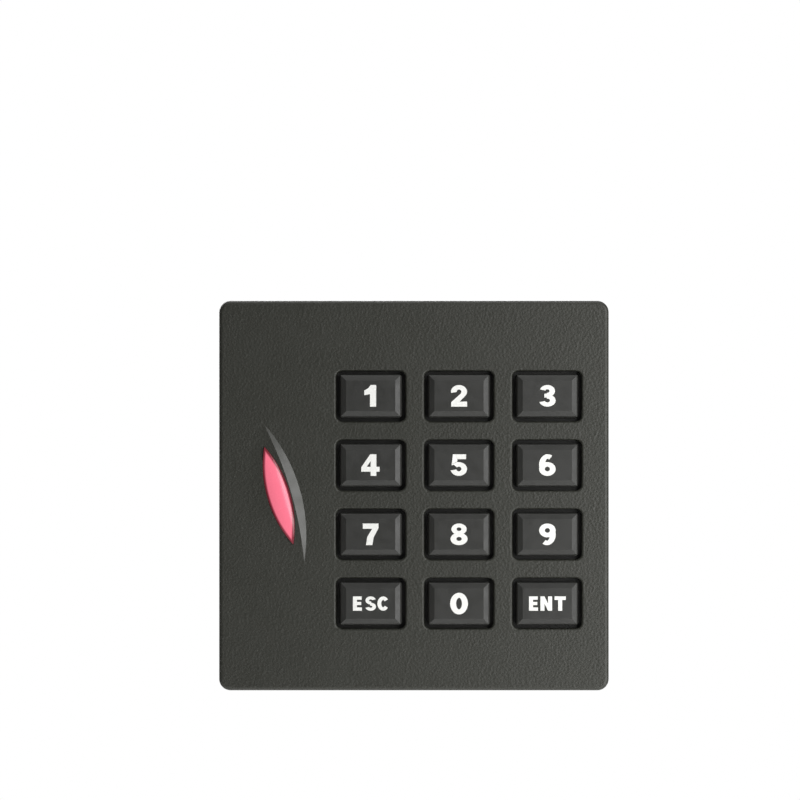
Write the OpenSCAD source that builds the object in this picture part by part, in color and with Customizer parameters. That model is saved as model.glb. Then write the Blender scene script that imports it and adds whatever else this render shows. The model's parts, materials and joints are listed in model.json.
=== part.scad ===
// Keypad access reader: a square wall-mounted card reader with a twelve-key keypad.
// Every part is drawn as seen from the front: X to the right, Y up, Z out of the wall.
// upright() then turns it so that the row's +Z is up, -Y faces the user and the wall is the plane Y = 0.

/* [Housing] */
// Width and height of the square housing
body_w = 86; // [84:0.5:92]
// Distance from the wall to the front face
body_d = 19; // [18.6:0.1:22]
// Radius of the housing's corners, seen from the front
corner_r = 2.6; // [2:0.1:4]
// Rounding of the front face's edge
edge_r = 0.9; // [0.4:0.1:1.2]
// Thickness of the side walls at the open back
wall_t = 2; // [1.8:0.1:2.2]
// Thickness of the front face
face_t = 2.4; // [2.2:0.1:2.8]

/* [Keys] */
// Distance between key columns
col_pitch = 19.4; // [19:0.1:19.6]
// Distance between key rows
row_pitch = 15.2; // [15:0.1:15.6]
// Middle column's place across the face
keypad_x = 9.9; // [9.8:0.1:10.4]
// Middle of the four rows
keypad_y = -0.9; // [-1.5:0.1:0]
// Width of a key's opening in the face
key_hole_w = 15.2; // [14.8:0.1:15.4]
// Height of a key's opening in the face
key_hole_h = 11.1; // [10.9:0.1:11.8]
// Gap between a key and its opening, all round
key_gap = 0.75; // [0.5:0.05:0.85]
// How far a key stands out of the face
key_proud = 1.3; // [1.2:0.1:1.8]
// How far a key travels when it is pressed
key_travel = 1; // [0.6:0.1:1]
// Width of the sloping bevel round a key's top
key_bevel = 1.2; // [0.8:0.1:1.4]

/* [Legends] */
// Height of the digits
digit_h = 4.75; // [4:0.05:5.4]
// Height of the words on the two function keys
word_h = 3.15; // [2.8:0.05:3.6]
// How far below the middle of its key each legend sits
legend_drop = 0; // [0:0.05:0.5]

/* [Status light] */
// Length of the leaf-shaped light
leaf_l = 22.2; // [18:0.2:23]
// Width of the leaf-shaped light
leaf_w = 5; // [4.4:0.1:5.2]
// Height of the smooth crest beside the light
crest_h = 0.9; // [0.6:0.1:1]

/* [Wall mount] */
// Distance between the two wall box screws
box_screws = 60; // [60:0.3:60.3]
// Length of each slot for a wall box screw
slot_l = 9; // [7:0.5:10]
// Width of each slot for a wall box screw
slot_w = 4.4; // [4.2:0.1:4.6]
// Bore of the cable grommet
cable_d = 5.4; // [4.5:0.1:6]

/* [Hidden] */
$fn = 64;
eps = 0.01;

KEYS = ["1", "2", "3", "4", "5", "6", "7", "8", "9", "esc", "0", "ent"];
STATIC = [
    "front_cover", "led_lens", "keypad_mat", "circuit_board", "contact_pads", "red_led", "green_led",
    "microcontroller", "reader_chip", "voltage_regulator", "crystal", "capacitors", "resistors",
    "buzzer", "buzzer_terminals", "wire_header", "header_pins", "antenna_coil", "coil_leads",
    "board_screws", "gasket", "rear_cover", "cable_grommet", "case_screws", "wall_plate", "lock_screw"
];

// The stack, as distances from the wall
rim_z = 0.4;
plate_t = 2.4;
rear_z = 5;
rear_t = 2;
gasket_t = 1;
ledge_z = rear_z + rear_t + gasket_t;
face_in_z = body_d - face_t;
flange_t = 0.8;
flange_top_z = face_in_z - 0.1;
key_foot_z = flange_top_z - flange_t;
board_t = 1.6;
board_z = body_d - 7.6;
board_front_z = board_z + board_t;
key_top_z = body_d + key_proud;

// Housing
cav_w = body_w - 2 * wall_t;
ledge_w = 1.5;
inner_w = cav_w - 2 * ledge_w;
draft = 0.1;
rim_r = 0.5;
cav_r = 1.6;
inner_r = 2;
rib_at = [-21.6, -37.4];
rib_t = 1.2;
rib_l = 32;
rib_foot_z = board_z + 2.1;
boss_at = inner_w / 2 - 4.5;
boss_r = 3.2;
case_screw_r = 1.45;
well_depth = 2;
well_floor = 1.5;
boss_foot_z = rear_z + rear_t + well_floor;
lip_t = 1.4;

// Keys
key_w = key_hole_w - 2 * key_gap;
key_h = key_hole_h - 2 * key_gap;
key_hole_r = 1.3;
key_r = key_hole_r - key_gap + 0.2;
key_draft = 0.25;
bevel_h = 0.5;
shoulder_r = 0.3;
flange_reach = 0.8;
flange_w = key_hole_w + 2 * flange_reach;
flange_h = key_hole_h + 2 * flange_reach;
flange_r = 1.4;
legend_t = 0.6;
cap_wall = 1.4;
cap_top_t = 1.7;
post_r = 3.1;

// Keypad mat
sheet_t = 0.9;
dome_r = 4.6;
mat_boss_r = 3;
web_t = 0.4;
pill_r = 2;
pill_t = 0.2;

// Circuit board
board_w = inner_w - 2;
board_notch = 7.4;
board_screw_at = [[-35, 24], [-35, -24], [20, 34.8], [20, -35.6]];
board_screw_r = 0.95;
board_screw_l = 4.5;
board_post_r = 2.5;

// Places on the board, as seen from the front
mcu_at = [10, 14];
reader_chip_at = [-14, 18];
regulator_at = [-20, 2];
crystal_at = [22, 12];
capacitors_at = [[-22, -8], [-22, -16]];
buzzer_at = [16, -15];
header_at = [-5, -22];
resistors_at = [
    [0, 16], [0, 12], [10, 22.5], [14, 22.5], [6, 22.5], [22, 3], [22, -1], [-10, 12], [-14, 12], [-18, 12],
    [-14, 5.5], [-13, 1]
];
coil_pads_y = [21, 17.5];

// Status light. Its own axes start on the line that joins the tips of the crest's foot, an arc:
// U runs to the right across that line and V runs up along it.
light_at = [-28.7, 0.7];
light_tilt = 16.5;
leaf_at = [-1.2, -0.4];
leaf_clear = 0.1;
arc_r = 37;
arc_sag = 3.65;
crest_run = 2;
swell_run = 9.8;
half_chord = sqrt(2 * arc_r * arc_sag - arc_sag * arc_sag);
swell_slope = crest_h / (swell_run + arc_sag - crest_run);
swell_r = half_chord * half_chord / (2 * swell_slope * swell_run);
lens_proud = 0.45;
lens_across_r = 3.2;
lens_along_r = 130;
lens_foot_z = board_front_z + 2.3;
lens_flange_t = 0.9;
led_at = 2.6;

// Wall mount
plate_w = cav_w - 4;
cable_at = [0, -4];
window_w = 34;
window_h = 26;
wall_hole_at = 28;
wall_hole_r = 2.1;
slot_floor = 1.2;
head_room = 4.6;
hook_at = 20;
hook_w = 10;
hook_t = 1.2;
hook_z = 1.2;
hook_reach = 3;
lug_w = 12;
lug_h = 6;
lock_z = 3.1;
lock_r = 1.25;
lock_head_r = 2.2;
lock_head_t = 1.1;

// ---------- Shared shapes ----------

module upright() rotate([90, 0, 0]) children();

module at_level(z) translate([0, 0, z]) children();

function arc(centre, r, from, to, steps = 6) =
    [for (i = [0:steps]) let (a = from + (to - from) * i / steps)
        [centre[0] + r[0] * cos(a), centre[1] + r[1] * sin(a)]];

// A rectangle with round corners
module rounded(w, h, r) {
    square([w, h - 2 * r], center = true);
    square([w - 2 * r, h], center = true);
    for (x = [-1, 1], y = [-1, 1])
        translate([x * (w / 2 - r), y * (h / 2 - r)]) circle(r);
}

// A rounded rectangle whose edge follows a profile: a list of [how far it stands out, height], rising
module profiled(w, h, r, profile) {
    low = profile[0][1];
    high = profile[len(profile) - 1][1];
    turned = concat([[0, low]], [for (p = profile) [r + p[0], p[1]]], [[0, high]]);
    for (i = [0:3]) {
        x = (i == 0 || i == 3) ? 1 : -1;
        y = i < 2 ? 1 : -1;
        translate([x * (w / 2 - r), y * (h / 2 - r), 0])
            rotate([0, 0, 90 * i]) rotate_extrude(angle = 90) polygon(turned);
    }
    ends = len(profile) - 1;
    function across(size) = concat(
        [for (p = profile) [size / 2 + p[0], p[1]]],
        [for (i = [ends:-1:0]) [-size / 2 - profile[i][0], profile[i][1]]]);
    rotate([90, 0, 0]) linear_extrude(h - 2 * r, center = true) polygon(across(w));
    rotate([90, 0, 90]) linear_extrude(w - 2 * r, center = true) polygon(across(h));
}

// Places its children at the four corners of a square
module at_corners(half) for (x = [-1, 1], y = [-1, 1]) translate([x * half, y * half, 0]) children();

function key_x(i) = keypad_x + (i % 3 - 1) * col_pitch;
function key_y(i) = keypad_y + (1.5 - floor(i / 3)) * row_pitch;

module at_keys() for (i = [0:11]) translate([key_x(i), key_y(i), 0]) children();

module at_light() translate(light_at) rotate([0, 0, light_tilt]) children();

// The leaf outline: two arcs that meet in a point at each end, grown by a margin
module leaf(margin = 0) {
    half_l = leaf_l / 2;
    half_w = leaf_w / 2;
    r = (half_l * half_l + half_w * half_w) / (2 * half_w);
    translate(leaf_at) intersection_for (side = [-1, 1])
        translate([side * (r - half_w), 0]) circle(r + margin, $fn = 128);
}

// A pan head screw along +Z, with its head's underside at zero and a cross recess
module pan_screw(r, l, head_r, head_t) {
    cross_w = head_r * 0.32;
    difference() {
        union() {
            at_level(-head_t) rotate_extrude() polygon(concat(
                [[0, head_t], [0, 0]],
                arc([head_r - head_t * 0.55, head_t * 0.55], [head_t * 0.55, head_t * 0.55], -90, 0),
                [[head_r, head_t]]));
            cylinder(r = r, h = l - r);
            at_level(l - r) cylinder(r1 = r, r2 = r * 0.35, h = r);
        }
        for (a = [0, 90]) rotate([0, 0, a])
            translate([-head_r * 0.55, -cross_w / 2, -head_t - eps])
                cube([head_r * 1.1, cross_w, head_t * 0.6]);
    }
}

// ---------- Housing ----------

// Turns its children so that Z = 0 is the swell's sloping top at a point U, V
module on_swell(at) {
    lift = swell_slope * (at[0] + swell_run) - at[1] * at[1] / (2 * swell_r);
    translate([at[0], at[1], body_d + lift]) rotate([0, -atan(swell_slope), 0]) children();
}

// A swell in the face that rises gently to a crest and falls steeply to the right of it
module swell() at_light() intersection() {
    translate([arc_sag - arc_r, 0, body_d - crest_h]) cylinder(
        r1 = arc_r + crest_run, r2 = arc_r - 2 * crest_run, h = 3 * crest_h, $fn = 256);
    translate([-swell_run, -half_chord - 1, face_in_z])
        cube([swell_run + 2 * arc_sag, 2 * half_chord + 2, 2 * face_t]);
    on_swell([0, 0]) at_level(-swell_r) rotate([0, 90, 0])
        cylinder(r = swell_r, h = 2 * arc_r, center = true, $fn = 256);
}

module front_cover() color("#33332f") difference() {
    union() {
        difference() {
            profiled(body_w, body_w, corner_r, concat(
                [[0, rim_z]],
                arc([-edge_r - draft, body_d - edge_r], [edge_r, edge_r], 0, 90, 5)));
            at_level(rim_z - 1) linear_extrude(ledge_z - rim_z + 1) rounded(cav_w, cav_w, cav_r);
            at_level(ledge_z - 1) linear_extrude(face_in_z - ledge_z + 1) rounded(inner_w, inner_w, inner_r);
        }
        at_corners(boss_at) at_level(boss_foot_z) cylinder(r = boss_r, h = face_in_z - boss_foot_z + eps);
        for (p = board_screw_at) translate([p[0], p[1], board_front_z])
            cylinder(r = board_post_r, h = face_in_z - board_front_z + eps);
        swell();
        // Ribs that stiffen the face and shade the keypad from the status light
        for (x = rib_at) translate([x - rib_t / 2, -rib_l / 2, rib_foot_z])
            cube([rib_t, rib_l, face_in_z - rib_foot_z + eps]);
    }
    // Key openings, with a rounded rim at the face
    at_keys() profiled(key_hole_w, key_hole_h, key_hole_r, concat(
        [[0, face_in_z - 1]],
        arc([rim_r, body_d - rim_r], [rim_r, rim_r], 180, 90, 4),
        [[rim_r, body_d + 1]]));
    at_light() at_level(face_in_z - 1) linear_extrude(face_t + 2) leaf(leaf_clear);
    // Screw holes in the bosses
    at_corners(boss_at) at_level(rear_z) cylinder(r = case_screw_r + 0.05, h = face_in_z - rear_z - 1);
    for (p = board_screw_at) translate([p[0], p[1], board_z])
        cylinder(r = board_screw_r + 0.05, h = board_screw_l + 0.4);
    // Lock screw hole in the bottom wall, with a seat for the head
    translate([0, -body_w / 2 - 1, lock_z]) rotate([-90, 0, 0]) {
        cylinder(r = lock_r + 0.2, h = wall_t + ledge_w + 1.5);
        cylinder(r = lock_head_r + 0.2, h = lock_head_t + 1);
    }
    // Pockets in the top wall for the wall plate's hooks
    for (x = [-1, 1]) translate([x * hook_at - hook_w / 2 - 0.5, cav_w / 2 - 1, hook_z - 0.3])
        cube([hook_w + 1, 2.2, hook_t + 0.8]);
}

// A barrel along Y: its girth is as round as lens_across_r and its length bends as gently as lens_along_r
module lens_barrel() rotate([90, 0, 0]) rotate_extrude() intersection() {
    translate([lens_across_r - lens_along_r, 0]) circle(lens_along_r, $fn = 256);
    translate([0, -leaf_l]) square([2 * lens_across_r, 2 * leaf_l]);
}

module led_lens() color("#e8436a") at_light() {
    intersection() {
        at_level(lens_foot_z) linear_extrude(face_t + 4) leaf();
        on_swell(leaf_at) at_level(lens_proud - lens_across_r) lens_barrel();
    }
    at_level(face_in_z - lens_flange_t) linear_extrude(lens_flange_t) leaf(1);
}

module gasket() color("#1c1c1c") at_level(rear_z + rear_t) linear_extrude(gasket_t) difference() {
    rounded(cav_w - 0.6, cav_w - 0.6, 1.4);
    rounded(inner_w + 0.4, inner_w + 0.4, 1.2);
}

module rear_cover() color("#2b2b29") difference() {
    union() {
        at_level(rear_z) linear_extrude(rear_t) rounded(cav_w - 0.4, cav_w - 0.4, 1.5);
        // Locating lip inside the gasket
        at_level(rear_z + rear_t) linear_extrude(lip_t) difference() {
            rounded(inner_w - 0.4, inner_w - 0.4, 1.8);
            rounded(inner_w - 2.6, inner_w - 2.6, 1);
        }
        at_corners(boss_at) at_level(rear_z + rear_t) cylinder(r = boss_r + 1, h = well_floor);
    }
    at_corners(boss_at) {
        at_level(rear_z - 1) cylinder(r = 3.1, h = well_depth + 1);
        at_level(rear_z) cylinder(r = case_screw_r + 0.2, h = rear_t + well_floor + 1);
    }
    translate([cable_at[0], cable_at[1], rear_z - 1]) cylinder(r = 4, h = rear_t + 2);
    // Grooves that mark the blank label panel
    translate([0, 22, rear_z - eps]) linear_extrude(0.25) difference() {
        rounded(40, 16, 1.5);
        rounded(39, 15, 1);
    }
}

module case_screws() color("silver") at_corners(boss_at)
    at_level(rear_z + well_depth) pan_screw(case_screw_r, 8, 2.8, 1.7);

// ---------- Keys ----------

// A cap's section across its width or height: straight skirt, tapered side, round shoulder, bevel, flat top
module cap_section(size) {
    half = size / 2;
    shoulder = half - key_draft - shoulder_r;
    side = concat(
        [[half, key_foot_z], [half, body_d - 0.5]],
        arc([shoulder, key_top_z - bevel_h - shoulder_r], [shoulder_r, shoulder_r], 10, 65, 3),
        [[half - key_draft - key_bevel, key_top_z]]);
    last = len(side) - 1;
    polygon(concat(side, [for (i = [last:-1:0]) [-side[i][0], side[i][1]]]));
}

module key_cap(i) color("#2e2e2b") translate([key_x(i), key_y(i), 0]) difference() {
    union() {
        intersection() {
            at_level(key_foot_z) linear_extrude(2 * face_t + key_proud) rounded(key_w, key_h, key_r);
            rotate([90, 0, 0]) linear_extrude(2 * key_h, center = true) cap_section(key_w);
            rotate([90, 0, 90]) linear_extrude(2 * key_w, center = true) cap_section(key_h);
        }
        at_level(key_foot_z) linear_extrude(flange_t) rounded(flange_w, flange_h, flange_r);
    }
    // Hollow under the top, round a central post
    at_level(key_foot_z - 1) linear_extrude(key_top_z - cap_top_t - key_foot_z + 1) difference() {
        rounded(key_w - 2 * cap_wall, key_h - 2 * cap_wall, 0.8);
        circle(post_r);
    }
    legend(i);
}

module legend(i) color("white") translate([0, -legend_drop, key_top_z - legend_t])
    linear_extrude(legend_t) glyphs(i);

module key_legend(i) translate([key_x(i), key_y(i), 0]) legend(i);

// ---------- Legends: a heavy, wide sans ----------

// The digits are drawn 5.1 high and the letters 3.2 high, round the middle of a key
drawn_digit_h = 5.1;
drawn_letter_h = 3.2;

// An oval band from one angle to another
module bow(centre, outer, inner, from, to, steps = 16) polygon(concat(
    arc(centre, outer, from, to, steps), arc(centre, inner, to, from, steps)));

module oval(centre, size) polygon(arc(centre, size, 0, 348.75, 31));

module ring(centre, outer, inner) difference() {
    oval(centre, outer);
    oval(centre, inner);
}

module zero() ring([0, 0], [2.1, 2.55], [0.68, 1.35]);

module one() polygon([[1.3, 2.55], [1.3, -2.55], [-0.15, -2.55], [-0.15, 0.4], [-1.5, 0.15], [-1.5, 1.25],
    [-0.6, 1.75], [0, 2.55]]);

module two() {
    bow([0, 0.98], [1.9, 1.57], [0.55, 0.5], -40, 190);
    polygon([
        [1.6, 0.32], [0.6, 0.7], [-1.85, -1.5], [-1.85, -2.55],
        [1.9, -2.55], [1.9, -1.35], [0.15, -1.35], [1.3, -0.2]
    ]);
}

module three() {
    bow([0, 1.14], [1.8, 1.41], [0.5, 0.42], -100, 165);
    bow([0, -1.1], [1.95, 1.45], [0.6, 0.45], -165, 100);
    translate([-0.7, -0.4]) square([1.2, 0.9]);
}

module four() difference() {
    polygon([[1.35, 2.55], [1.35, -0.4], [2.1, -0.4], [2.1, -1.55], [1.35, -1.55], [1.35, -2.55], [0, -2.55],
        [0, -1.55], [-2.2, -1.55], [-2.2, -0.5], [-0.1, 2.55]]);
    polygon([[0, -0.4], [0, 0.95], [-0.9, -0.4]]);
}

module five() {
    bow([-0.05, -0.92], [1.95, 1.63], [0.6, 0.55], -168, 135);
    polygon([
        [1.65, 2.55], [1.65, 1.4], [-0.35, 1.4], [-0.45, 0.6],
        [-0.3, 0.2], [-1.75, -0.05], [-1.45, 2.55]
    ]);
}

module six() {
    ring([0, -0.92], [1.95, 1.63], [0.6, 0.55]);
    bow([0.1, 0.1], [2.05, 2.45], [0.65, 1.4], 60, 200);
}

module seven() polygon([[-1.85, 2.55], [-1.85, 1.3], [0.35, 1.3], [-0.8, -0.6], [-1.1, -2.55], [0.4, -2.55],
    [0.7, -0.75], [1.85, 1.5], [1.85, 2.55]]);

module eight() {
    ring([0, 1.22], [1.8, 1.33], [0.55, 0.42]);
    ring([0, -1.08], [2, 1.47], [0.62, 0.47]);
}

module nine() rotate(180) six();

module letter_e() polygon([[-1, 1.6], [0.95, 1.6], [0.95, 0.85], [-0.1, 0.85], [-0.1, 0.37], [0.85, 0.37],
    [0.85, -0.34], [-0.1, -0.34], [-0.1, -0.85], [1, -0.85], [1, -1.6], [-1, -1.6]]);

module letter_s() {
    bow([0, 0.7], [1.15, 0.9], [0.36, 0.22], 15, 285);
    bow([0, -0.7], [1.2, 0.9], [0.36, 0.22], -165, 105);
}

module letter_c() bow([0, 0], [1.3, 1.6], [0.42, 0.82], 36, 324);

module letter_n() polygon([
    [-1.3, 1.6], [-0.4, 1.6], [0.4, 0], [0.4, 1.6], [1.3, 1.6],
    [1.3, -1.6], [0.4, -1.6], [-0.4, 0], [-0.4, -1.6], [-1.3, -1.6]
]);

module letter_t() polygon([[-1.25, 1.6], [1.25, 1.6], [1.25, 0.8], [0.45, 0.8], [0.45, -1.6], [-0.45, -1.6],
    [-0.45, 0.8], [-1.25, 0.8]]);

module esc() {
    translate([-2.95, 0]) letter_e();
    letter_s();
    translate([2.8, 0]) letter_c();
}

module ent() {
    translate([-3.1, 0]) letter_e();
    translate([-0.25, 0]) letter_n();
    translate([2.85, 0]) letter_t();
}

module glyphs(i) {
    name = KEYS[i];
    scale(digit_h / drawn_digit_h) {
        if (name == "0") zero();
        if (name == "1") one();
        if (name == "2") two();
        if (name == "3") three();
        if (name == "4") four();
        if (name == "5") five();
        if (name == "6") six();
        if (name == "7") seven();
        if (name == "8") eight();
        if (name == "9") nine();
    }
    scale(word_h / drawn_letter_h) {
        if (name == "esc") esc();
        if (name == "ent") ent();
    }
}

// ---------- Keypad mat ----------

// One silicone sheet whose twelve domes push the keys back out, each with a carbon pill under its roof
module keypad_mat() color("#b9bdc0") {
    roof_z = board_front_z + key_travel + pill_t;
    foot_z = board_front_z;
    mat_w = 2 * col_pitch + flange_w + 0.6;
    mat_h = 3 * row_pitch + flange_h + 0.6;
    difference() {
        union() {
            translate([keypad_x, keypad_y, foot_z]) linear_extrude(sheet_t) rounded(mat_w, mat_h, 2);
            at_keys() {
                at_level(foot_z + sheet_t - eps) cylinder(r1 = dome_r, r2 = mat_boss_r + 0.2, h = 0.8);
                at_level(foot_z + sheet_t) cylinder(r = mat_boss_r, h = key_foot_z - foot_z - sheet_t - 0.05);
            }
        }
        at_keys() at_level(foot_z - eps)
            cylinder(r1 = dome_r - web_t, r2 = mat_boss_r - web_t / 2, h = roof_z - foot_z);
        // Air channels between the domes
        for (c = [-1:1]) translate([keypad_x + c * col_pitch, keypad_y, foot_z])
            cube([1, 3 * row_pitch, 0.5], center = true);
        for (r = [-1.5:1.5]) translate([keypad_x, keypad_y + r * row_pitch, foot_z])
            cube([2 * col_pitch, 1, 0.5], center = true);
    }
    color("#1d1d1d") at_keys() at_level(board_front_z + key_travel) cylinder(r = pill_r, h = pill_t - eps);
}

// ---------- Circuit board and what it carries ----------

module circuit_board() color("#1f6b3a") at_level(board_z) difference() {
    linear_extrude(board_t) difference() {
        square(board_w, center = true);
        at_corners(board_w / 2 - board_notch / 2 + 0.5) square(board_notch + 1, center = true);
    }
    for (p = board_screw_at) translate([p[0], p[1], -1]) cylinder(r = 1.2, h = board_t + 2);
}

// Each key's contact: two half discs with a gap that the pill bridges
module contact_pads() color("#caa53a") at_keys() at_level(board_front_z) linear_extrude(0.05) difference() {
    circle(2.4);
    square([0.4, 6], center = true);
}

module led_package() {
    linear_extrude(1.9) difference() {
        square([3.5, 2.8], center = true);
        translate([1.75, 1.4]) rotate(45) square(0.7, center = true);
    }
}

module status_led(shade, v) color(shade) at_light()
    translate([leaf_at[0], leaf_at[1] + v, board_front_z]) led_package();

// Places its children on the back of the board, at a point seen from the front, growing towards the wall
module on_back(at) translate([at[0], at[1], board_z]) mirror([0, 0, 1]) children();

module gull_leads(count, pitch, reach, body_h) for (i = [0:count - 1])
    translate([(i - (count - 1) / 2) * pitch - 0.15, reach - 1, 0]) {
        cube([0.3, 1, 0.15]);
        cube([0.3, 0.15, body_h / 2]);
    }

module microcontroller() color("#202020") on_back(mcu_at) {
    at_level(0.1) linear_extrude(1.4) difference() {
        square(10, center = true);
        translate([5, 5]) rotate(45) square(1, center = true);
    }
    for (a = [0:90:270]) rotate([0, 0, a]) gull_leads(11, 0.8, 6, 1.4);
}

module reader_chip() color("#202020") on_back(reader_chip_at) {
    at_level(0.1) linear_extrude(1.5) square([10, 3.9], center = true);
    for (a = [0, 180]) rotate([0, 0, a]) gull_leads(8, 1.27, 2.95, 1.5);
}

module voltage_regulator() color("#242424") on_back(regulator_at) {
    at_level(0.05) linear_extrude(1.6) square([6.5, 3.5], center = true);
    translate([-1.5, 1.75, 0]) cube([3, 1.6, 0.3]);
    for (x = [-2.3, 0, 2.3]) translate([x - 0.35, -3.35, 0]) cube([0.7, 1.6, 0.25]);
}

module crystal() color("silver") on_back(crystal_at) rotate([0, 0, 90]) {
    linear_extrude(0.4) rounded(11.2, 4.7, 2.3);
    linear_extrude(3.4) rounded(10.2, 3.8, 1.85);
}

module capacitors() color("#c9ccd0") for (p = capacitors_at) on_back(p) {
    linear_extrude(0.6) square(5.3, center = true);
    cylinder(r = 2.5, h = 4.1);
}

module resistors() color("#b79a6a") for (p = resistors_at)
    on_back(p) linear_extrude(0.6) square([2, 1.25], center = true);

module buzzer() color("#191919") on_back(buzzer_at) difference() {
    rotate_extrude() polygon(concat([[0, 0], [6, 0]], arc([5.4, 3.4], [0.6, 0.6], 0, 90, 4), [[0, 4]]));
    at_level(2) cylinder(r = 1, h = 3);
}

module buzzer_terminals() color("silver") on_back(buzzer_at)
    for (x = [-1, 1]) translate([x * 7 - 1, -1, 0]) difference() {
        cube([2, 2, 0.2]);
        translate([1 - x, 1, -1]) cylinder(r = 0.3, h = 2);
    }

pin_pitch = 2;
pin_count = 10;

module at_pins() for (i = [0:pin_count - 1])
    translate([(i - (pin_count - 1) / 2) * pin_pitch, 0, 0]) children();

module wire_header() color("#efe9d8") on_back(header_at) difference() {
    translate([-pin_count * pin_pitch / 2 - 1, -2.5, 0]) cube([pin_count * pin_pitch + 2, 5, 4]);
    translate([-pin_count * pin_pitch / 2 - 0.2, -1.7, 1]) cube([pin_count * pin_pitch + 0.4, 3.4, 4]);
    at_pins() translate([-0.25, -0.25, -1]) cube([0.5, 0.5, 3]);
    for (x = [-1, 1]) translate([x * 6 - 1, 1.5, 1.6]) cube([2, 2, 4]);
}

module header_pins() color("#d9c06a") on_back(header_at)
    at_pins() translate([-0.25, -0.25, 0]) cube([0.5, 0.5, 3.4]);

coil_out = 62;
coil_wide = 2.6;
coil_t = 1.8;
coil_r = 8;
coil_lead_l = 4.6;

module antenna_coil() color("#b5651d") at_level(board_z - coil_t) linear_extrude(coil_t) difference() {
    rounded(coil_out, coil_out, coil_r);
    rounded(coil_out - 2 * coil_wide, coil_out - 2 * coil_wide, coil_r - coil_wide);
}

// The coil's two ends, led in to their solder pads
module coil_leads() color("#b5651d") for (y = coil_pads_y) on_back([coil_wide - coil_out / 2, y]) {
    translate([0, -0.2, 0]) cube([coil_lead_l, 0.4, 0.4]);
    translate([coil_lead_l, 0, 0]) cylinder(r = 0.9, h = 0.5);
}

module board_screws() color("silver") for (p = board_screw_at)
    translate([p[0], p[1], board_z]) pan_screw(board_screw_r, board_screw_l, 2, 1.3);

// ---------- Back of the reader ----------

module cable_grommet() color("#1c1c1c") translate([cable_at[0], cable_at[1], 0])
rotate_extrude() difference() {
    polygon([
        [0, rear_z - 2.1], [4.6, rear_z - 2.1], [6, rear_z - 0.9], [6, rear_z],
        [4, rear_z], [4, rear_z + rear_t], [5.2, rear_z + rear_t],
        [4.7, rear_z + rear_t + 0.9], [0, rear_z + rear_t + 0.9]
    ]);
    translate([0, rear_z - 3]) square([cable_d / 2, 8]);
}

module wall_slots(length, width) for (x = [-1, 1]) translate([x * box_screws / 2, 0]) {
    square([length - width, width], center = true);
    for (s = [-1, 1]) translate([s * (length - width) / 2, 0]) circle(width / 2);
}

module wall_plate() color("#2b2b29") difference() {
    union() {
        linear_extrude(plate_t) rounded(plate_w, plate_w, 3);
        // Hooks that hold the housing's top wall
        for (x = [-1, 1]) translate([x * hook_at - hook_w / 2, plate_w / 2 - 1, hook_z])
            cube([hook_w, hook_reach + 1, hook_t]);
        // Lug that the lock screw goes into
        translate([-lug_w / 2, -plate_w / 2, 0]) cube([lug_w, lug_h, rear_z - 0.2]);
        // Stiffening ribs beside the window
        for (x = [-1, 1]) translate([x * 22 - 0.6, -24, plate_t - eps]) cube([1.2, 48, 1.2]);
    }
    at_level(-1) linear_extrude(plate_t + 2) rounded(window_w, window_h, 3);
    at_level(-1) linear_extrude(plate_t + 2) wall_slots(slot_l, slot_w);
    at_level(slot_floor) linear_extrude(plate_t) wall_slots(slot_l + head_room, slot_w + head_room);
    at_level(-1) at_corners(wall_hole_at) cylinder(r = wall_hole_r, h = plate_t + 2);
    at_level(slot_floor) at_corners(wall_hole_at) cylinder(r = 2 * wall_hole_r, h = plate_t);
    // Lock screw hole
    translate([0, -plate_w / 2 - 1, lock_z]) rotate([-90, 0, 0]) cylinder(r = lock_r + 0.05, h = 8);
}

module lock_screw() color("silver") translate([0, -body_w / 2 + lock_head_t, lock_z]) rotate([-90, 0, 0])
    pan_screw(lock_r, 8, lock_head_r, lock_head_t);

// ---------- Assembly ----------

upright() {
    front_cover();
    led_lens();
    keypad_mat();
    circuit_board();
    contact_pads();
    status_led("#f2e6e0", led_at);  // red_led
    status_led("#e6f2e4", -led_at);  // green_led
    microcontroller();
    reader_chip();
    voltage_regulator();
    crystal();
    capacitors();
    resistors();
    buzzer();
    buzzer_terminals();
    wire_header();
    header_pins();
    antenna_coil();
    coil_leads();
    board_screws();
    gasket();
    rear_cover();
    cable_grommet();
    case_screws();
    wall_plate();
    lock_screw();
    for (i = [0:11]) {
        key_cap(i);
        key_legend(i);
    }
}
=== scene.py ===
import json
import math

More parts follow.
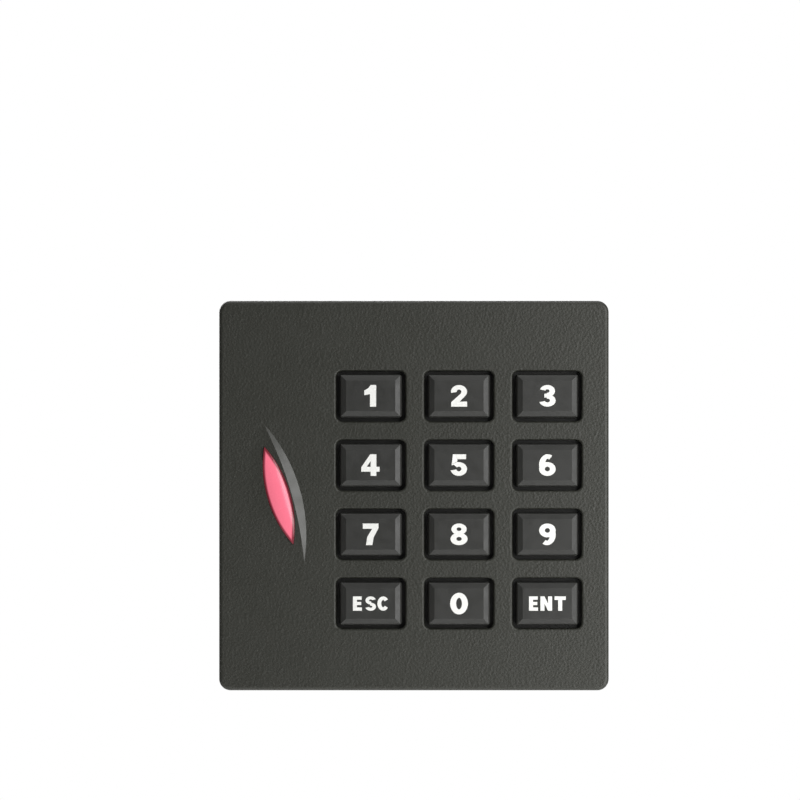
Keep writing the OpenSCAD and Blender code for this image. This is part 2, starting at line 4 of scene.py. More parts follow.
import bmesh
import bpy
from bpy.props import FloatProperty, FloatVectorProperty, IntProperty, PointerProperty
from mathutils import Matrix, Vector

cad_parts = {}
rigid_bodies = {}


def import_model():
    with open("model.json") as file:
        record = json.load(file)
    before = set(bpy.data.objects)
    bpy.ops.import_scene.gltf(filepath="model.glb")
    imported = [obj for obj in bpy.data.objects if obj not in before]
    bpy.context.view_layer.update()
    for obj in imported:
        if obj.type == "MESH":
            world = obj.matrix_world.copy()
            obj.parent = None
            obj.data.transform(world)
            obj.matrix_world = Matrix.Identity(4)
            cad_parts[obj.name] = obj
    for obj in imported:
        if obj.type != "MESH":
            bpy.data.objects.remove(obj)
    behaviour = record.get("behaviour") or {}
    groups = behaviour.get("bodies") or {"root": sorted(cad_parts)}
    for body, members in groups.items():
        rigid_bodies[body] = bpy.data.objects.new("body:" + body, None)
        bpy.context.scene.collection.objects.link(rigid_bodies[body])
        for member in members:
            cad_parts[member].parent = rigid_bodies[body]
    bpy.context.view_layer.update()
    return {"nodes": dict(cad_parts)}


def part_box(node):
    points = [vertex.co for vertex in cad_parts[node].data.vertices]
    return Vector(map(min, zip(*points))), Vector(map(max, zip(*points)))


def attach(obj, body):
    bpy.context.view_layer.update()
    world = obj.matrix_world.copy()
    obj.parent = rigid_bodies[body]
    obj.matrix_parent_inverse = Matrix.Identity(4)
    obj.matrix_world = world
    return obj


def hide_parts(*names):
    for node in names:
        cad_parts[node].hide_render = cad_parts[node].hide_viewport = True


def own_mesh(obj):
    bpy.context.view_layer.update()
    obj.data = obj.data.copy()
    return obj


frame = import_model()

bl_info = {
    "name": "Keypad access reader",
    "version": (1, 0, 0),
    "blender": (4, 5, 0),
    "location": "3D View > Sidebar > Reader",
    "description": "Finishes the pieces of a wall-mounted keypad and card reader",
    "category": "Object",
}

KEYS = ("1", "2", "3", "4", "5", "6", "7", "8", "9", "esc", "0", "ent")

# Heights out of the wall, in metres: the wall is the plane y = 0 and the face looks along -Y
BOARD_FRONT = 0.013
MAT_SHEET_TOP = 0.0139
MAT_BOSS_TOP = 0.01565
MAT_OPENING = 0.0041
MAT_UNDERCUT = 0.0004
PILL_RADIUS = 0.002
PILL_FOOT = BOARD_FRONT + 0.00106
PILL_TOP = BOARD_FRONT + 0.00129
DOME_ROOF = BOARD_FRONT + 0.0013
FACE = 0.019

# The status light leans this far, and its leaf outline is this long and wide
LIGHT_TILT = math.radians(16.5)
LEAF_LENGTH = 0.0222
LEAF_WIDTH = 0.005

# How brightly the floor shines by itself, which keeps it pale
FLOOR_GLOW = 0.3


# ---------- Sizes and colours that a user would change ----------


class ReaderForm(bpy.types.PropertyGroup):
    edge_round: FloatProperty(
        name="Edge round",
        description="Width of the small round on the moulded edges",
        default=0.00012,
        min=0.00002,
        max=0.0004,
        precision=5,
        unit="LENGTH",
    )
    fine_round: FloatProperty(
        name="Fine round",
        description="Width of the round on small components and legends",
        default=0.00004,
        min=0.00001,
        max=0.0001,
        precision=5,
        unit="LENGTH",
    )
    mat_squash: FloatProperty(
        name="Dome squash",
        description="Share of its height that a mat dome keeps under a pressed key",
        default=0.6,
        min=0.5,
        max=0.9,
        subtype="FACTOR",
    )
    wire: FloatProperty(
        name="Coil wire",
        description="Diameter of the antenna wire over its enamel",
        default=0.00043,
        min=0.0002,
        max=0.0006,
        precision=5,
        unit="LENGTH",
    )
    wire_sides: IntProperty(
        name="Wire sides",
        description="Number of flat sides round the antenna wire",
        default=8,
        min=6,
        max=16,
    )


class ReaderColours(bpy.types.PropertyGroup):
    housing: FloatVectorProperty(
        name="Housing",
        description="Charcoal of the front cover",
        default=(0.0245, 0.0252, 0.0192),
        size=3,
        min=0,
        max=1,
        subtype="COLOR",
    )
    key: FloatVectorProperty(
        name="Keys",
        description="Colour of the key caps",
        default=(0.0235, 0.0237, 0.0215),
        size=3,
        min=0,
        max=1,
        subtype="COLOR",
    )
    legend: FloatVectorProperty(
        name="Legends",
        description="White of the moulded characters",
        default=(0.84, 0.84, 0.81),
        size=3,
        min=0,
        max=1,
        subtype="COLOR",
    )
    light: FloatVectorProperty(
        name="Status light",
        description="Colour of the lit window",
        default=(0.86, 0.17, 0.25),
        size=3,
        min=0,
        max=1,
        subtype="COLOR",
    )
    # Painted shade: this darker red at the lit window's rim stands in for the shadow where the lens
    # sinks below the housing
    light_rim_shade: FloatVectorProperty(
        name="Status light edge",
        description="Darker colour at the rim of the lit window",
        default=(0.16, 0.02, 0.03),
        size=3,
        min=0,
        max=1,
        subtype="COLOR",
    )
    light_strength: FloatProperty(
        name="Status light strength",
        description="Strength of the glow from the lit window",
        default=0.82,
        min=0,
        max=5,
    )
    board: FloatVectorProperty(
        name="Board",
        description="Solder mask of the circuit board",
        default=(0.008, 0.085, 0.03),
        size=3,
        min=0,
        max=1,
        subtype="COLOR",
    )


class StudioSettings(bpy.types.PropertyGroup):
    lens: FloatProperty(
        name="Lens",
        description="Focal length of the camera in millimetres",
        default=120,
        min=50,
        max=300,
    )
    view_width: FloatProperty(
        name="View width",
        description="Width that the camera takes in at the reader's face",
        default=0.176,
        min=0.1,
        max=0.5,
        unit="LENGTH",
    )
    side_power: FloatProperty(
        name="Side softbox",
        description="Power of the softbox to the right",
        default=1.0,
        min=0,
        max=200,
        unit="POWER",
    )
    top_power: FloatProperty(
        name="Top softbox",
        description="Power of the softbox above",
        default=0.75,
        min=0,
        max=200,
        unit="POWER",
    )
    back_power: FloatProperty(
        name="Back softbox",
        description="Power of the softbox that lights the wall side",
        default=7,
        min=0,
        max=200,
        unit="POWER",
    )
    room: FloatProperty(
        name="Room light",
        description="Strength of the even light from the white room",
        default=0.125,
        min=0,
        max=3,
    )


# ---------- Material nodes ----------


def add(tree, kind, inputs=None, **settings):
    """Adds a node, sets its options and fills its inputs with numbers or other nodes' outputs."""
    node = tree.nodes.new(kind)
    for name, value in settings.items():
        setattr(node, name, value)
    for name, value in (inputs or {}).items():
        if isinstance(value, bpy.types.NodeSocket):
            tree.links.new(value, node.inputs[name])
        else:
            node.inputs[name].default_value = value
    return node


def math_node(tree, operation, first, second=0.0):
    """A Math node's result."""
    return add(tree, "ShaderNodeMath", {0: first, 1: second}, operation=operation).outputs[0]


def remap(tree, value, low, high, to_low=0.0, to_high=1.0):
    """A value moved smoothly from one range to another."""
    inputs = {
        "Value": value,
        "From Min": low,
        "From Max": high,
        "To Min": to_low,
        "To Max": to_high,
    }
    node = add(tree, "ShaderNodeMapRange", inputs, interpolation_type="SMOOTHSTEP")
    return node.outputs["Result"]


def blend_colours(tree, share, first, second):
    """Two colours mixed by a share."""
    node = add(tree, "ShaderNodeMix", data_type="RGBA")
    for socket, value in ((0, share), (6, first), (7, second)):
        if isinstance(value, bpy.types.NodeSocket):
            tree.links.new(value, node.inputs[socket])
        else:
            node.inputs[socket].default_value = value
    return node.outputs[2]


def opaque(colour):
    return (colour[0], colour[1], colour[2], 1.0)


def scaled(colour, share):
    """A colour made lighter or darker."""
    return opaque([min(1.0, channel * share) for channel in colour])


def noise(tree, place, size, detail=2.0):
    """Noise whose features are about this size, in metres."""
    inputs = {"Vector": place, "Scale": 1.0 / size, "Detail": detail}
    return add(tree, "ShaderNodeTexNoise", inputs).outputs["Fac"]


def worn_edges(tree, place, reach):
    """How far a point lies on an outer edge, broken up where hands and tools have touched it."""
    rounded = add(tree, "ShaderNodeBevel", {"Radius": reach}, samples=4).outputs["Normal"]
    flat = add(tree, "ShaderNodeNewGeometry").outputs["Normal"]
    inputs = {0: rounded, 1: flat}
    facing = add(tree, "ShaderNodeVectorMath", inputs, operation="DOT_PRODUCT").outputs["Value"]
    turned = remap(tree, math_node(tree, "SUBTRACT", 1.0, facing), 0.01, 0.16)
    patches = remap(tree, noise(tree, place, 0.004, 3.0), 0.35, 0.65, 0.35, 1.0)
    return math_node(tree, "MULTIPLY", turned, patches)


def finish(
    name,
    colour,
    roughness,
    metallic=0.0,
    mottle=0.08,
    mottle_size=0.012,
    grain_size=0.0003,
    grain_depth=0.000004,
    rough_spread=0.06,
    wear=0.0,
    specular=0.5,
):
    """A surface with uneven colour and gloss, a fine grain and worn edges."""
    material = bpy.data.materials.new(name)
    material.use_nodes = True
    tree = material.node_tree
    shader = tree.nodes["Principled BSDF"]
    shader.inputs["Metallic"].default_value = metallic
    shader.inputs["Specular IOR Level"].default_value = specular
    place = add(tree, "ShaderNodeTexCoord").outputs["Object"]

    cloud = noise(tree, place, mottle_size, 4.0)
    base = blend_colours(tree, cloud, scaled(colour, 1 - mottle), scaled(colour, 1 + mottle))
    if wear:
        edge = math_node(tree, "MULTIPLY", worn_edges(tree, place, 0.00025), wear)
        base = blend_colours(tree, edge, base, scaled(colour, 2.2))
    tree.links.new(base, shader.inputs["Base Color"])

    smear = noise(tree, place, mottle_size * 0.35, 3.0)
    gloss = remap(tree, smear, 0.3, 0.7, roughness - rough_spread, roughness + rough_spread)
    tree.links.new(gloss, shader.inputs["Roughness"])

    height = noise(tree, place, grain_size, 3.0)
    bump = {"Height": height, "Distance": grain_depth, "Strength": 1.0}
    relief = add(tree, "ShaderNodeBump", bump)
    tree.links.new(relief.outputs["Normal"], shader.inputs["Normal"])
    return material


def spark_grain(material, cell, depth):
    """Swaps a finish's fine grain for the pebbled grain of a spark-eroded mould."""
    tree = material.node_tree
    place = add(tree, "ShaderNodeTexCoord").outputs["Object"]
    wobble = noise(tree, place, cell * 2.5, 2.0)
    cells = add(
        tree,
        "ShaderNodeTexVoronoi",
        {"Vector": place, "Scale": 1.0 / cell, "Smoothness": 0.7, "Randomness": 1.0},
        feature="SMOOTH_F1",
    ).outputs["Distance"]
    fine = noise(tree, place, cell * 0.4, 2.0)
    pebbles = math_node(tree, "MULTIPLY", cells, remap(tree, wobble, 0.2, 0.8, 0.7, 1.3))
    height = math_node(tree, "ADD", pebbles, math_node(tree, "MULTIPLY", fine, 0.45))
    relief = add(tree, "ShaderNodeBump", {"Height": height, "Distance": depth, "Strength": 1.0})
    tree.links.new(relief.outputs["Normal"], tree.nodes["Principled BSDF"].inputs["Normal"])
    return material


# ---------- Materials, one for each finish of the reader ----------


def housing_plastic(colours):
    material = finish(
        "housing_plastic",
        colours.housing,
        0.52,
        mottle=0.05,
        mottle_size=0.02,
        rough_spread=0.03,
        wear=0.35,
    )
    return spark_grain(material, 0.00055, 0.00007)


def crest_plastic(colours):
    return finish(
        "crest_plastic", colours.housing, 0.34, mottle=0.03, grain_depth=0.0000015, wear=0.1
    )


def back_plastic(colours):
    material = finish("back_plastic", colours.housing, 0.6, mottle=0.07, wear=0.3)
    return spark_grain(material, 0.0006, 0.00002)


def key_plastic(colours):
    return finish(
        "key_plastic",
        colours.key,
        0.48,
        mottle=0.06,
        mottle_size=0.006,
        grain_size=0.00016,
        grain_depth=0.000006,
        wear=0.3,
    )


def legend_plastic(colours):
    return finish(
        "legend_plastic", colours.legend, 0.45, mottle=0.025, mottle_size=0.003, rough_spread=0.04
    )


def silicone_rubber():
    return finish("silicone_rubber", (0.42, 0.435, 0.445), 0.62, mottle=0.06, grain_depth=0.000008)


def carbon_pill():
    return finish("carbon_pill", (0.012, 0.012, 0.013), 0.75, mottle=0.15, grain_depth=0.00001)


def soft_rubber():
    return finish("soft_rubber", (0.016, 0.016, 0.016), 0.7, mottle=0.12, grain_depth=0.00001)


def gold_plate():
    return finish("gold_plate", (0.83, 0.57, 0.22), 0.28, 1.0, mottle=0.06, grain_depth=0.000002)


def tin_plate():
    return finish("tin_plate", (0.62, 0.63, 0.64), 0.3, 1.0, mottle=0.06, wear=0.2)


def nickel_can():
    return finish("nickel_can", (0.66, 0.65, 0.62), 0.24, 1.0, mottle=0.04, mottle_size=0.003)


def capacitor_can():
    return finish("capacitor_can", (0.74, 0.75, 0.77), 0.3, 1.0, mottle=0.05, mottle_size=0.003)


def screw_steel():
    return finish(
        "screw_steel", (0.46, 0.46, 0.47), 0.33, 1.0, mottle=0.1, mottle_size=0.002, wear=0.4
    )


def moulded_epoxy():
    return finish(
        "moulded_epoxy", (0.014, 0.014, 0.0145), 0.55, mottle=0.1, mottle_size=0.002, wear=0.15
    )


def chip_ceramic():
    return finish("chip_ceramic", (0.33, 0.24, 0.15), 0.48, mottle=0.15, mottle_size=0.001)


def connector_nylon():
    return finish("connector_nylon", (0.74, 0.7, 0.58), 0.5, mottle=0.04, grain_depth=0.000005)


def lamp_red():
    return finish("lamp_red", (0.5, 0.02, 0.02), 0.25, mottle=0.08, mottle_size=0.001)


def lamp_green():
    return finish("lamp_green", (0.03, 0.33, 0.06), 0.25, mottle=0.08, mottle_size=0.001)


def enamelled_copper():
    return finish(
        "enamelled_copper", (0.62, 0.24, 0.09), 0.3, 1.0, mottle=0.12, mottle_size=0.002
    )


def solder_mask(colours):
    """Green lacquer, with copper tracks that show through as slightly raised lighter lines."""
    material = finish("solder_mask", colours.board, 0.3, mottle=0.06)
    tree = material.node_tree
    shader = tree.nodes["Principled BSDF"]
    place = add(tree, "ShaderNodeTexCoord").outputs["Object"]
    cells = add(
        tree,
        "ShaderNodeTexVoronoi",
        {"Vector": place, "Scale": 260.0, "Randomness": 0.75},
        feature="F1",
        distance="CHEBYCHEV",
    ).outputs["Distance"]
    bands = math_node(tree, "PINGPONG", cells, 0.09)
    tracks = remap(tree, bands, 0.035, 0.05)
    base = blend_colours(tree, tracks, opaque(colours.board), scaled(colours.board, 1.9))
    tree.links.new(base, shader.inputs["Base Color"])
    relief = add(tree, "ShaderNodeBump", {"Height": tracks, "Distance": 0.00002, "Strength": 1.0})
    tree.links.new(relief.outputs["Normal"], shader.inputs["Normal"])
    return material


def lit_window(colours):
    """Glossy pink plastic lit from behind, with painted shade darkening the rim of its leaf
    outline.
    """
    material = finish("lit_window", colours.light, 0.26, rough_spread=0.03, grain_depth=0.000001)
    tree = material.node_tree
    shader = tree.nodes["Principled BSDF"]
    low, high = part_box("led_lens")
    middle = (Vector(low) + Vector(high)) / 2
    place = add(tree, "ShaderNodeTexCoord").outputs["Object"]
    local = add(
        tree,
        "ShaderNodeVectorMath",
        {0: place, 1: (middle.x, 0.0, middle.z)},
        operation="SUBTRACT",
    ).outputs[0]
    turned = add(
        tree,
        "ShaderNodeVectorRotate",
        {"Vector": local, "Axis": (0.0, 1.0, 0.0), "Angle": LIGHT_TILT},
        rotation_type="AXIS_ANGLE",
    ).outputs[0]
    parts = add(tree, "ShaderNodeSeparateXYZ", {0: turned})
    across = math_node(tree, "ABSOLUTE", parts.outputs["X"])
    half_length = LEAF_LENGTH / 2
    half_width = LEAF_WIDTH / 2
    curve = (half_length**2 + half_width**2) / (2 * half_width)
    side = math_node(tree, "ADD", across, curve - half_width)
    square = math_node(
        tree,
        "ADD",
        math_node(tree, "MULTIPLY", side, side),
        math_node(tree, "MULTIPLY", parts.outputs["Z"], parts.outputs["Z"]),
    )
    inside = math_node(tree, "SUBTRACT", curve, math_node(tree, "SQRT", square))
    # Painted shade: emission and base colour turn to the darker rim colour within 0.7 mm of the
    # leaf outline
    glow = remap(tree, inside, 0.0002, 0.0007)
    colour = blend_colours(tree, glow, opaque(colours.light_rim_shade), opaque(colours.light))
    tree.links.new(colour, shader.inputs["Emission Color"])
    shader.inputs["Emission Strength"].default_value = colours.light_strength
    # The base colour darkens at the rim with the same painted shade
    tree.links.new(
        blend_colours(tree, glow, scaled(colours.light_rim_shade, 0.5), scaled(colours.light, 0.35)),
        shader.inputs["Base Color"],
    )
    return material


# ---------- Making pieces ----------


def smooth(piece, crease=38):
    """Smooth shading that keeps the flat faces flat."""
    piece.data.shade_smooth()
    piece.data.set_sharp_from_angle(angle=math.radians(crease))
    normals = piece.modifiers.new("Even shading", "WEIGHTED_NORMAL")
    normals.keep_sharp = True
    normals.mode = "FACE_AREA_WITH_ANGLE"


def crease_between_finishes(piece):
    """A crisp edge wherever one finish meets another."""
    mesh = piece.data
    finishes = {}
    for face in mesh.polygons:
        for key in face.edge_keys:
            finishes.setdefault(key, set()).add(face.material_index)
    for edge in mesh.edges:
        if len(finishes[edge.key]) > 1:
            edge.use_edge_sharp = True


def new_piece(name, bm, materials):
    """A new object from a bmesh, with its normals outward."""
    bmesh.ops.recalc_face_normals(bm, faces=bm.faces)
    mesh = bpy.data.meshes.new(name)
    bm.to_mesh(mesh)
    bm.free()
    for material in materials:
        mesh.materials.append(material)
    piece = bpy.data.objects.new(name, mesh)
    bpy.context.scene.collection.objects.link(piece)
    return piece


def body_of_node(node):
    """The body that a CAD node rides on."""
    return frame["nodes"][node].parent.name.split(":", 1)[1]


def softened(node, name, materials, width, segments=2, sharp=25, tag=None):
    """Puts a copy of a CAD node with rounded edges in its place."""
    source = frame["nodes"][node]
    bm = bmesh.new()
    bm.from_mesh(source.data)
    for face in bm.faces:
        face.material_index = 0
    bmesh.ops.remove_doubles(bm, verts=bm.verts, dist=0.000002)
    bmesh.ops.dissolve_limit(
        bm, angle_limit=math.radians(0.6), verts=bm.verts, edges=bm.edges
    )
    limit = math.radians(sharp)
    edges = [e for e in bm.edges if e.is_manifold and e.calc_face_angle(0) > limit]
    bmesh.ops.bevel(
        bm,
        geom=edges,
        offset=width,
        offset_type="OFFSET",
        segments=segments,
        profile=0.5,
        affect="EDGES",
        clamp_overlap=True,
        loop_slide=True,
    )
    if tag:
        for face in bm.faces:
            face.material_index = tag(face)
    piece = new_piece(name, bm, materials)
    smooth(piece)
    if tag:
        crease_between_finishes(piece)
    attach(piece, body_of_node(node))
    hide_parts(node)
    return piece


def turned_solid(name, profile, centre, material, steps=48):
    """A closed solid turned round an axis out of the wall: profile is (radius, height) pairs."""
    bm = bmesh.new()
    rings = []
    for radius, height in profile:
        if radius == 0:
            rings.append([bm.verts.new((centre.x, -height, centre.z))])
            continue
        ring = []
        for i in range(steps):
            angle = 2 * math.pi * i / steps
            at = (centre.x + radius * math.cos(angle), -height, centre.z + radius * math.sin(angle))
            ring.append(bm.verts.new(at))
        rings.append(ring)
    for low, high in zip(rings, rings[1:]):
        for i in range(steps):
            j = (i + 1) % steps
            corners = [low[i % len(low)], low[j % len(low)]]
            corners += [high[j % len(high)], high[i % len(high)]]
            bm.faces.new(list(dict.fromkeys(corners)))
    return new_piece(name, bm, [material])


def centre_of(node):
    """The middle of a CAD node's box."""
    low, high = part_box(node)
    return (Vector(low) + Vector(high)) / 2


# ---------- The pieces, one operator each ----------


def on_crest(face):
    """1 on the steep smooth flank beside the status light, 0 elsewhere."""
    low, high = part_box("led_lens")
    at = face.calc_center_median()
    beside = low[0] < at.x < high[0] + 0.004 and abs(at.z) < 0.019
    lean = math.degrees(face.normal.angle(Vector((0, -1, 0))))
    return int(beside and at.y < -FACE - 0.00001 and 12 < lean < 45)


class READER_OT_front_cover(bpy.types.Operator):
    """Finish the front cover, with its grain and the smooth crest beside the light"""

    bl_idname = "reader.front_cover"
    bl_label = "Front cover"

    def execute(self, context):
        scene = context.scene
        softened(
            "front_cover",
            "front_cover_moulding",
            [housing_plastic(scene.reader_colours), crest_plastic(scene.reader_colours)],
            scene.reader_form.edge_round,
            tag=on_crest,
        )
        return {"FINISHED"}


class READER_OT_light_window(bpy.types.Operator):
    """Finish the lit window and its two lamps"""

    bl_idname = "reader.light_window"
    bl_label = "Light window"

    def execute(self, context):
        colours = context.scene.reader_colours
        fine = context.scene.reader_form.fine_round
        softened("led_lens", "light_window", [lit_window(colours)], fine, sharp=40)
        softened("red_led", "red_lamp", [lamp_red()], fine)
        softened("green_led", "green_lamp", [lamp_green()], fine)
        return {"FINISHED"}


class READER_OT_keys(bpy.types.Operator):
    """Finish the twelve key caps and their moulded legends"""

    bl_idname = "reader.keys"
    bl_label = "Keys"

    def execute(self, context):
        form = context.scene.reader_form
        colours = context.scene.reader_colours
        cap = key_plastic(colours)
        white = legend_plastic(colours)
        for key in KEYS:
            softened(f"key_{key}", f"key_{key}_cap", [cap], form.edge_round * 0.6)
            softened(
                f"legend_{key}", f"legend_{key}_inlay", [white], form.fine_round / 4
            )
        return {"FINISHED"}


class READER_OT_keypad_mat(bpy.types.Operator):
    """Mould the silicone mat: a sheet, and a dome under each key"""

    bl_idname = "reader.keypad_mat"
    bl_label = "Keypad mat"

    def execute(self, context):
        rubber = silicone_rubber()
        carbon = carbon_pill()
        keep = context.scene.reader_form.mat_squash
        self.sheet(rubber)
        for key in KEYS:
            self.dome(key, rubber, keep)
            self.pill(key, carbon)
        return {"FINISHED"}

    def sheet(self, rubber):
        """The flat sheet, with a round edge and an opening under each dome"""
        low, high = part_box("keypad_mat")
        corner = 0.002
        steps = 8
        rim = []
        for quarter, (x, z) in enumerate(
            ((high[0], high[2]), (low[0], high[2]), (low[0], low[2]), (high[0], low[2]))
        ):
            inward = (-1 if x == high[0] else 1, -1 if z == high[2] else 1)
            for i in range(steps + 1):
                angle = math.pi / 2 * (quarter + i / steps)
                rim.append(
                    (
                        x + inward[0] * corner + corner * math.cos(angle),
                        z + inward[1] * corner + corner * math.sin(angle),
                    )
                )
        loops = [rim]
        for key in KEYS:
            centre = centre_of(f"key_{key}")
            turns = [math.tau * i / 32 for i in range(32)]
            loops.append(
                [
                    (centre.x + MAT_OPENING * math.cos(a), centre.z + MAT_OPENING * math.sin(a))
                    for a in turns
                ]
            )
        bm = bmesh.new()
        for loop in loops:
            ring = [bm.verts.new((x, -BOARD_FRONT, z)) for x, z in loop]
            for i, vert in enumerate(ring):
                bm.edges.new((ring[i - 1], vert))
        bmesh.ops.triangle_fill(bm, edges=bm.edges[:], use_beauty=True, use_dissolve=False)
        raised = bmesh.ops.extrude_face_region(bm, geom=bm.faces[:])
        lifted = [v for v in raised["geom"] if isinstance(v, bmesh.types.BMVert)]
        bmesh.ops.translate(bm, vec=(0, BOARD_FRONT - MAT_SHEET_TOP, 0), verts=lifted)
        bmesh.ops.recalc_face_normals(bm, faces=bm.faces)
        lifted = set(lifted)
        top = [
            e
            for e in bm.edges
            if e.verts[0] in lifted and e.verts[1] in lifted and e.calc_face_angle(0) > 1
        ]
        bmesh.ops.bevel(
            bm, geom=top, offset=0.0002, segments=2, profile=0.5, affect="EDGES", clamp_overlap=True
        )
        piece = new_piece("mat_sheet", bm, [rubber])
        smooth(piece)
        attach(piece, body_of_node("keypad_mat"))
        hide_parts("keypad_mat")

    def dome(self, key, rubber, keep):
        """A dome's thin skirt and its boss, hollow underneath, in one turned solid"""
        centre = centre_of(f"key_{key}")
        profile = [
            (0, DOME_ROOF),
            (0.0024, DOME_ROOF),
            (0.0039, BOARD_FRONT + MAT_UNDERCUT),
            (0.0046, BOARD_FRONT + MAT_UNDERCUT),
            (0.0046, MAT_SHEET_TOP),
            (0.0043, MAT_SHEET_TOP + 0.0003),
            (0.0034, MAT_SHEET_TOP + 0.0008),
            (0.0031, MAT_SHEET_TOP + 0.0011),
            (0.003, MAT_BOSS_TOP - 0.0001),
            (0.0029, MAT_BOSS_TOP),
            (0, MAT_BOSS_TOP),
        ]
        piece = turned_solid(f"mat_dome_{key}", profile, centre, rubber)
        piece.data.shade_smooth()
        piece.data.set_sharp_from_angle(angle=math.radians(50))
        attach(piece, body_of_node("keypad_mat"))
        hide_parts("keypad_mat")
        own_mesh(piece)

    def pill(self, key, carbon):
        """The carbon pill that closes a key's contact; it goes down with the key"""
        centre = centre_of(f"key_{key}")
        profile = [
            (0, PILL_FOOT),
            (PILL_RADIUS, PILL_FOOT),
            (PILL_RADIUS, PILL_TOP),
            (0, PILL_TOP),
        ]
        piece = turned_solid(f"carbon_pill_{key}", profile, centre, carbon)
        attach(piece, body_of_node(f"key_{key}"))
        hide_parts("keypad_mat")


class READER_OT_circuit_board(bpy.types.Operator):
    """Finish the circuit board and everything soldered to it"""

    bl_idname = "reader.circuit_board"
    bl_label = "Circuit board"

    def execute(self, context):
        colours = context.scene.reader_colours
        fine = context.scene.reader_form.fine_round
        epoxy = moulded_epoxy()
        parts = (
            ("circuit_board", "printed_board", solder_mask(colours), "board"),
            ("contact_pads", "gold_contacts", gold_plate(), "gold_pads"),
            ("microcontroller", "controller_chip", epoxy, "chip_black"),
            ("reader_chip", "card_reader_chip", epoxy, "chip_black"),
            ("voltage_regulator", "regulator", epoxy, "chip_black"),
            ("buzzer", "buzzer_case", epoxy, "chip_black"),
            ("buzzer_terminals", "buzzer_tags", tin_plate(), "metal_can"),
            ("crystal", "crystal_can", nickel_can(), "metal_can"),
            ("capacitors", "capacitor_cans", capacitor_can(), "capacitor_can"),
            ("resistors", "chip_resistors", chip_ceramic(), "ceramic_chips"),
            ("wire_header", "header_housing", connector_nylon(), "connector_nylon"),
            ("header_pins", "header_contacts", tin_plate(), "plated_pins"),
        )
        for node, name, material, slot in parts:
            softened(node, name, [material], fine)
        return {"FINISHED"}


class READER_OT_antenna(bpy.types.Operator):
    """Wind the antenna coil turn by turn, and finish its leads"""

    bl_idname = "reader.antenna"
    bl_label = "Antenna coil"

    def execute(self, context):
        form = context.scene.reader_form
        copper = enamelled_copper()
        low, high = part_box("antenna_coil")
        band = 0.0026
        across = int(band / form.wire)
        deep = int((high[1] - low[1]) / form.wire)
        bm = bmesh.new()
        for row in range(across):
            for layer in range(deep):
                inset = band * (row + 0.5) / across
                level = low[1] + (high[1] - low[1]) * (layer + 0.5) / deep
                self.turn(bm, low, high, inset, level, form.wire / 2, form.wire_sides)
        piece = new_piece("antenna_winding", bm, [copper])
        piece.data.shade_smooth()
        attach(piece, body_of_node("antenna_coil"))
        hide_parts("antenna_coil")
        softened("coil_leads", "antenna_leads", [copper], form.fine_round)
        return {"FINISHED"}

    def turn(self, bm, low, high, inset, level, radius, sides):
        """One closed turn of wire, a rounded square"""
        corner = 0.008 - inset
        steps = 7
        rings = []
        for quarter in range(4):
            x = (high[0] - 0.008) if quarter in (0, 3) else (low[0] + 0.008)
            z = (high[2] - 0.008) if quarter in (0, 1) else (low[2] + 0.008)
            for i in range(steps + 1):
                angle = math.pi / 2 * (quarter + i / steps)
                out = Vector((math.cos(angle), 0, math.sin(angle)))
                middle = Vector((x, level, z)) + out * corner
                ring = []
                for k in range(sides):
                    around = 2 * math.pi * k / sides
                    side = out * math.cos(around) + Vector((0, 1, 0)) * math.sin(around)
                    ring.append(bm.verts.new(middle + side * radius))
                rings.append(ring)
        for first, second in zip(rings, rings[1:] + rings[:1]):
            for k in range(sides):
                n = (k + 1) % sides
                bm.faces.new((first[k], first[n], second[n], second[k]))


class READER_OT_back(bpy.types.Operator):
    """Finish the rear cover, its gasket and grommet, and the wall plate"""

    bl_idname = "reader.back"
    bl_label = "Back and wall plate"

    def execute(self, context):
        form = context.scene.reader_form
        colours = context.scene.reader_colours
        plastic = back_plastic(colours)
        rubber = soft_rubber()
        softened("rear_cover", "rear_cover_moulding", [plastic], form.edge_round)
        softened("wall_plate", "wall_plate_moulding", [plastic], form.edge_round)
        softened("gasket", "gasket_ring", [rubber], form.edge_round)
        softened("cable_grommet", "grommet", [rubber], form.edge_round)
        return {"FINISHED"}


class READER_OT_screws(bpy.types.Operator):
    """Finish the screws"""

    bl_idname = "reader.screws"
    bl_label = "Screws"

    def execute(self, context):
        fine = context.scene.reader_form.fine_round
        steel = screw_steel()
        for node in ("board_screws", "case_screws", "lock_screw"):
            softened(node, f"{node}_set", [steel], fine)
        return {"FINISHED"}


# ---------- Stage ----------


def softbox(name, direction, distance, size, power, target):
    """A rectangular light at a direction from the reader, turned to face it."""
    light = bpy.data.lights.new(name, "AREA")
    light.shape = "RECTANGLE"
    light.size, light.size_y = size
    light.energy = power
    lamp = bpy.data.objects.new(name, light)
    lamp.location = target + Vector(direction).normalized() * distance
    lamp.rotation_euler = (target - lamp.location).to_track_quat("-Z", "Y").to_euler()
    bpy.context.scene.collection.objects.link(lamp)
    return lamp


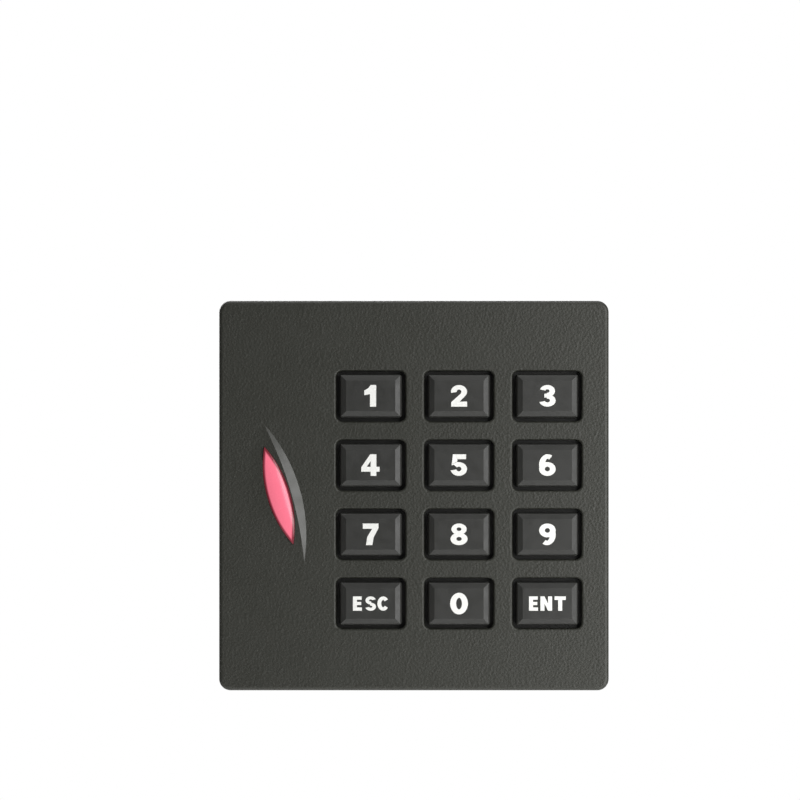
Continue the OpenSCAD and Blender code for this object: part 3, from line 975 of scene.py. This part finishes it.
class READER_OT_stage(bpy.types.Operator):
    """Set up the white room, the softboxes and the camera"""

    bl_idname = "reader.stage"
    bl_label = "Stage"

    def execute(self, context):
        studio = context.scene.reader_studio
        context.scene.view_settings.view_transform = "Standard"
        self.room(context.scene, studio)
        self.floor()
        target = Vector((0, -FACE, 0))
        softbox("side_softbox", (0.7, -0.72, -0.02), 0.27, (0.17, 0.36), studio.side_power, target)
        softbox("top_softbox", (0.0, -0.1, 1.0), 0.4, (0.4, 0.12), studio.top_power, target)
        softbox("back_softbox", (-0.35, 0.85, 0.45), 0.8, (0.7, 0.5), studio.back_power, target)
        self.camera(context.scene, studio)
        return {"FINISHED"}

    def room(self, scene, studio):
        """White wherever the camera looks past the reader, and dimmer as a source of light"""
        world = bpy.data.worlds.new("white_room")
        world.use_nodes = True
        tree = world.node_tree
        shown = tree.nodes["Background"]
        shown.inputs["Color"].default_value = (1, 1, 1, 1)
        shown.inputs["Strength"].default_value = 1.0
        lit = add(tree, "ShaderNodeBackground", {"Color": (1, 1, 1, 1), "Strength": studio.room})
        seen = add(tree, "ShaderNodeLightPath").outputs["Is Camera Ray"]
        mixed = add(tree, "ShaderNodeMixShader", {0: seen, 1: lit.outputs[0], 2: shown.outputs[0]})
        tree.links.new(mixed.outputs[0], tree.nodes["World Output"].inputs["Surface"])
        scene.world = world

    def floor(self):
        """A pale round floor, well below the reader"""
        bm = bmesh.new()
        bmesh.ops.create_circle(bm, cap_ends=True, segments=96, radius=0.38)
        bmesh.ops.translate(bm, vec=(0, 0, -0.16), verts=bm.verts)
        matt = finish("pale_floor", (0.85, 0.85, 0.84), 0.7, mottle=0.01, grain_size=0.004)
        shader = matt.node_tree.nodes["Principled BSDF"]
        shader.inputs["Emission Color"].default_value = (1, 1, 1, 1)
        shader.inputs["Emission Strength"].default_value = FLOOR_GLOW
        disc = new_piece("floor", bm, [matt])

    def camera(self, scene, studio):
        """Square on to the face, with the reader low in the picture"""
        data = bpy.data.cameras.new("camera")
        data.lens = studio.lens
        data.sensor_width = 36
        data.shift_x = -0.0174
        data.shift_y = 0.1195
        camera = bpy.data.objects.new("camera", data)
        distance = studio.view_width * studio.lens / data.sensor_width
        camera.location = (0, -FACE - distance, 0)
        camera.rotation_euler = (math.pi / 2, 0, 0)
        scene.collection.objects.link(camera)
        scene.camera = camera


# ---------- Add-on ----------

STEPS = (
    ("stage", READER_OT_stage),
    ("front_cover", READER_OT_front_cover),
    ("light_window", READER_OT_light_window),
    ("keys", READER_OT_keys),
    ("keypad_mat", READER_OT_keypad_mat),
    ("circuit_board", READER_OT_circuit_board),
    ("antenna", READER_OT_antenna),
    ("back", READER_OT_back),
    ("screws", READER_OT_screws),
)


class READER_PT_panel(bpy.types.Panel):
    """Lists the reader's pieces, sizes and colours"""

    bl_idname = "READER_PT_panel"
    bl_label = "Keypad access reader"
    bl_space_type = "VIEW_3D"
    bl_region_type = "UI"
    bl_category = "Reader"

    def draw(self, context):
        scene = context.scene
        for group in (scene.reader_form, scene.reader_colours, scene.reader_studio):
            box = self.layout.box()
            for name in group.__annotations__:
                box.prop(group, name)
        column = self.layout.column(align=True)
        for _, operator in STEPS:
            column.operator(operator.bl_idname)


GROUPS = (
    ("reader_form", ReaderForm),
    ("reader_colours", ReaderColours),
    ("reader_studio", StudioSettings),
)


def register():
    for name, group in GROUPS:
        bpy.utils.register_class(group)
        setattr(bpy.types.Scene, name, PointerProperty(type=group))
    for _, operator in STEPS:
        bpy.utils.register_class(operator)
    bpy.utils.register_class(READER_PT_panel)


def unregister():
    bpy.utils.unregister_class(READER_PT_panel)
    for _, operator in reversed(STEPS):
        bpy.utils.unregister_class(operator)
    for name, group in reversed(GROUPS):
        delattr(bpy.types.Scene, name)
        bpy.utils.unregister_class(group)


def main():
    register()
    for step, _ in STEPS:
        getattr(bpy.ops.reader, step)()


if __name__ == "__main__":
    main()
